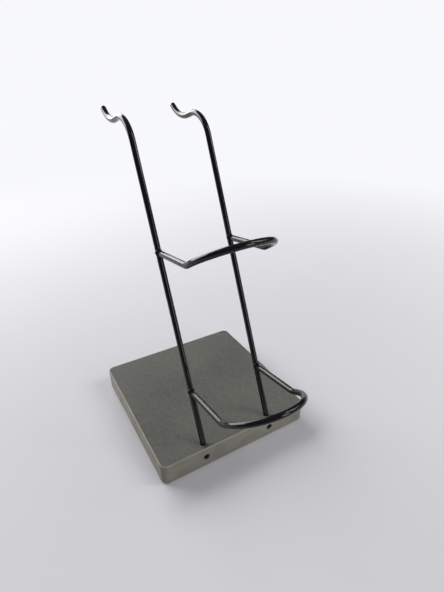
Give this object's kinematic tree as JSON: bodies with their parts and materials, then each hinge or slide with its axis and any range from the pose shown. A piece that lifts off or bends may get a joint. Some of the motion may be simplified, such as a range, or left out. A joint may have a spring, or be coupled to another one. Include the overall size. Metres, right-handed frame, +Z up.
{
  "type": "game controller stand",
  "caption": "Square cast slab with leaning bent-rod uprights: a forward U-shaped rod cradle on each tier for game controllers and hooked tops that hold a headset.",
  "frame": {"origin": "on the surface that the stand stands on, under the middle of the slab", "axes": "+X to the stand's right seen from the front, +Y to the rear, +Z up"},
  "size_m": [0.125, 0.2015, 0.2326],
  "materials": {
    "slab": "fine cast, matte",
    "rod": "gloss black coat",
    "screw": "black oxide",
    "pad": "matte"
  },
  "bodies": {
    "root": {"base_slab": "slab", "base_pad": "pad", "clamp_screw_left": "screw", "clamp_screw_right": "screw", "upright_left": "rod", "upright_right": "rod", "cradle_lower": "rod", "cradle_upper": "rod"}
  },
  "joints": []
}
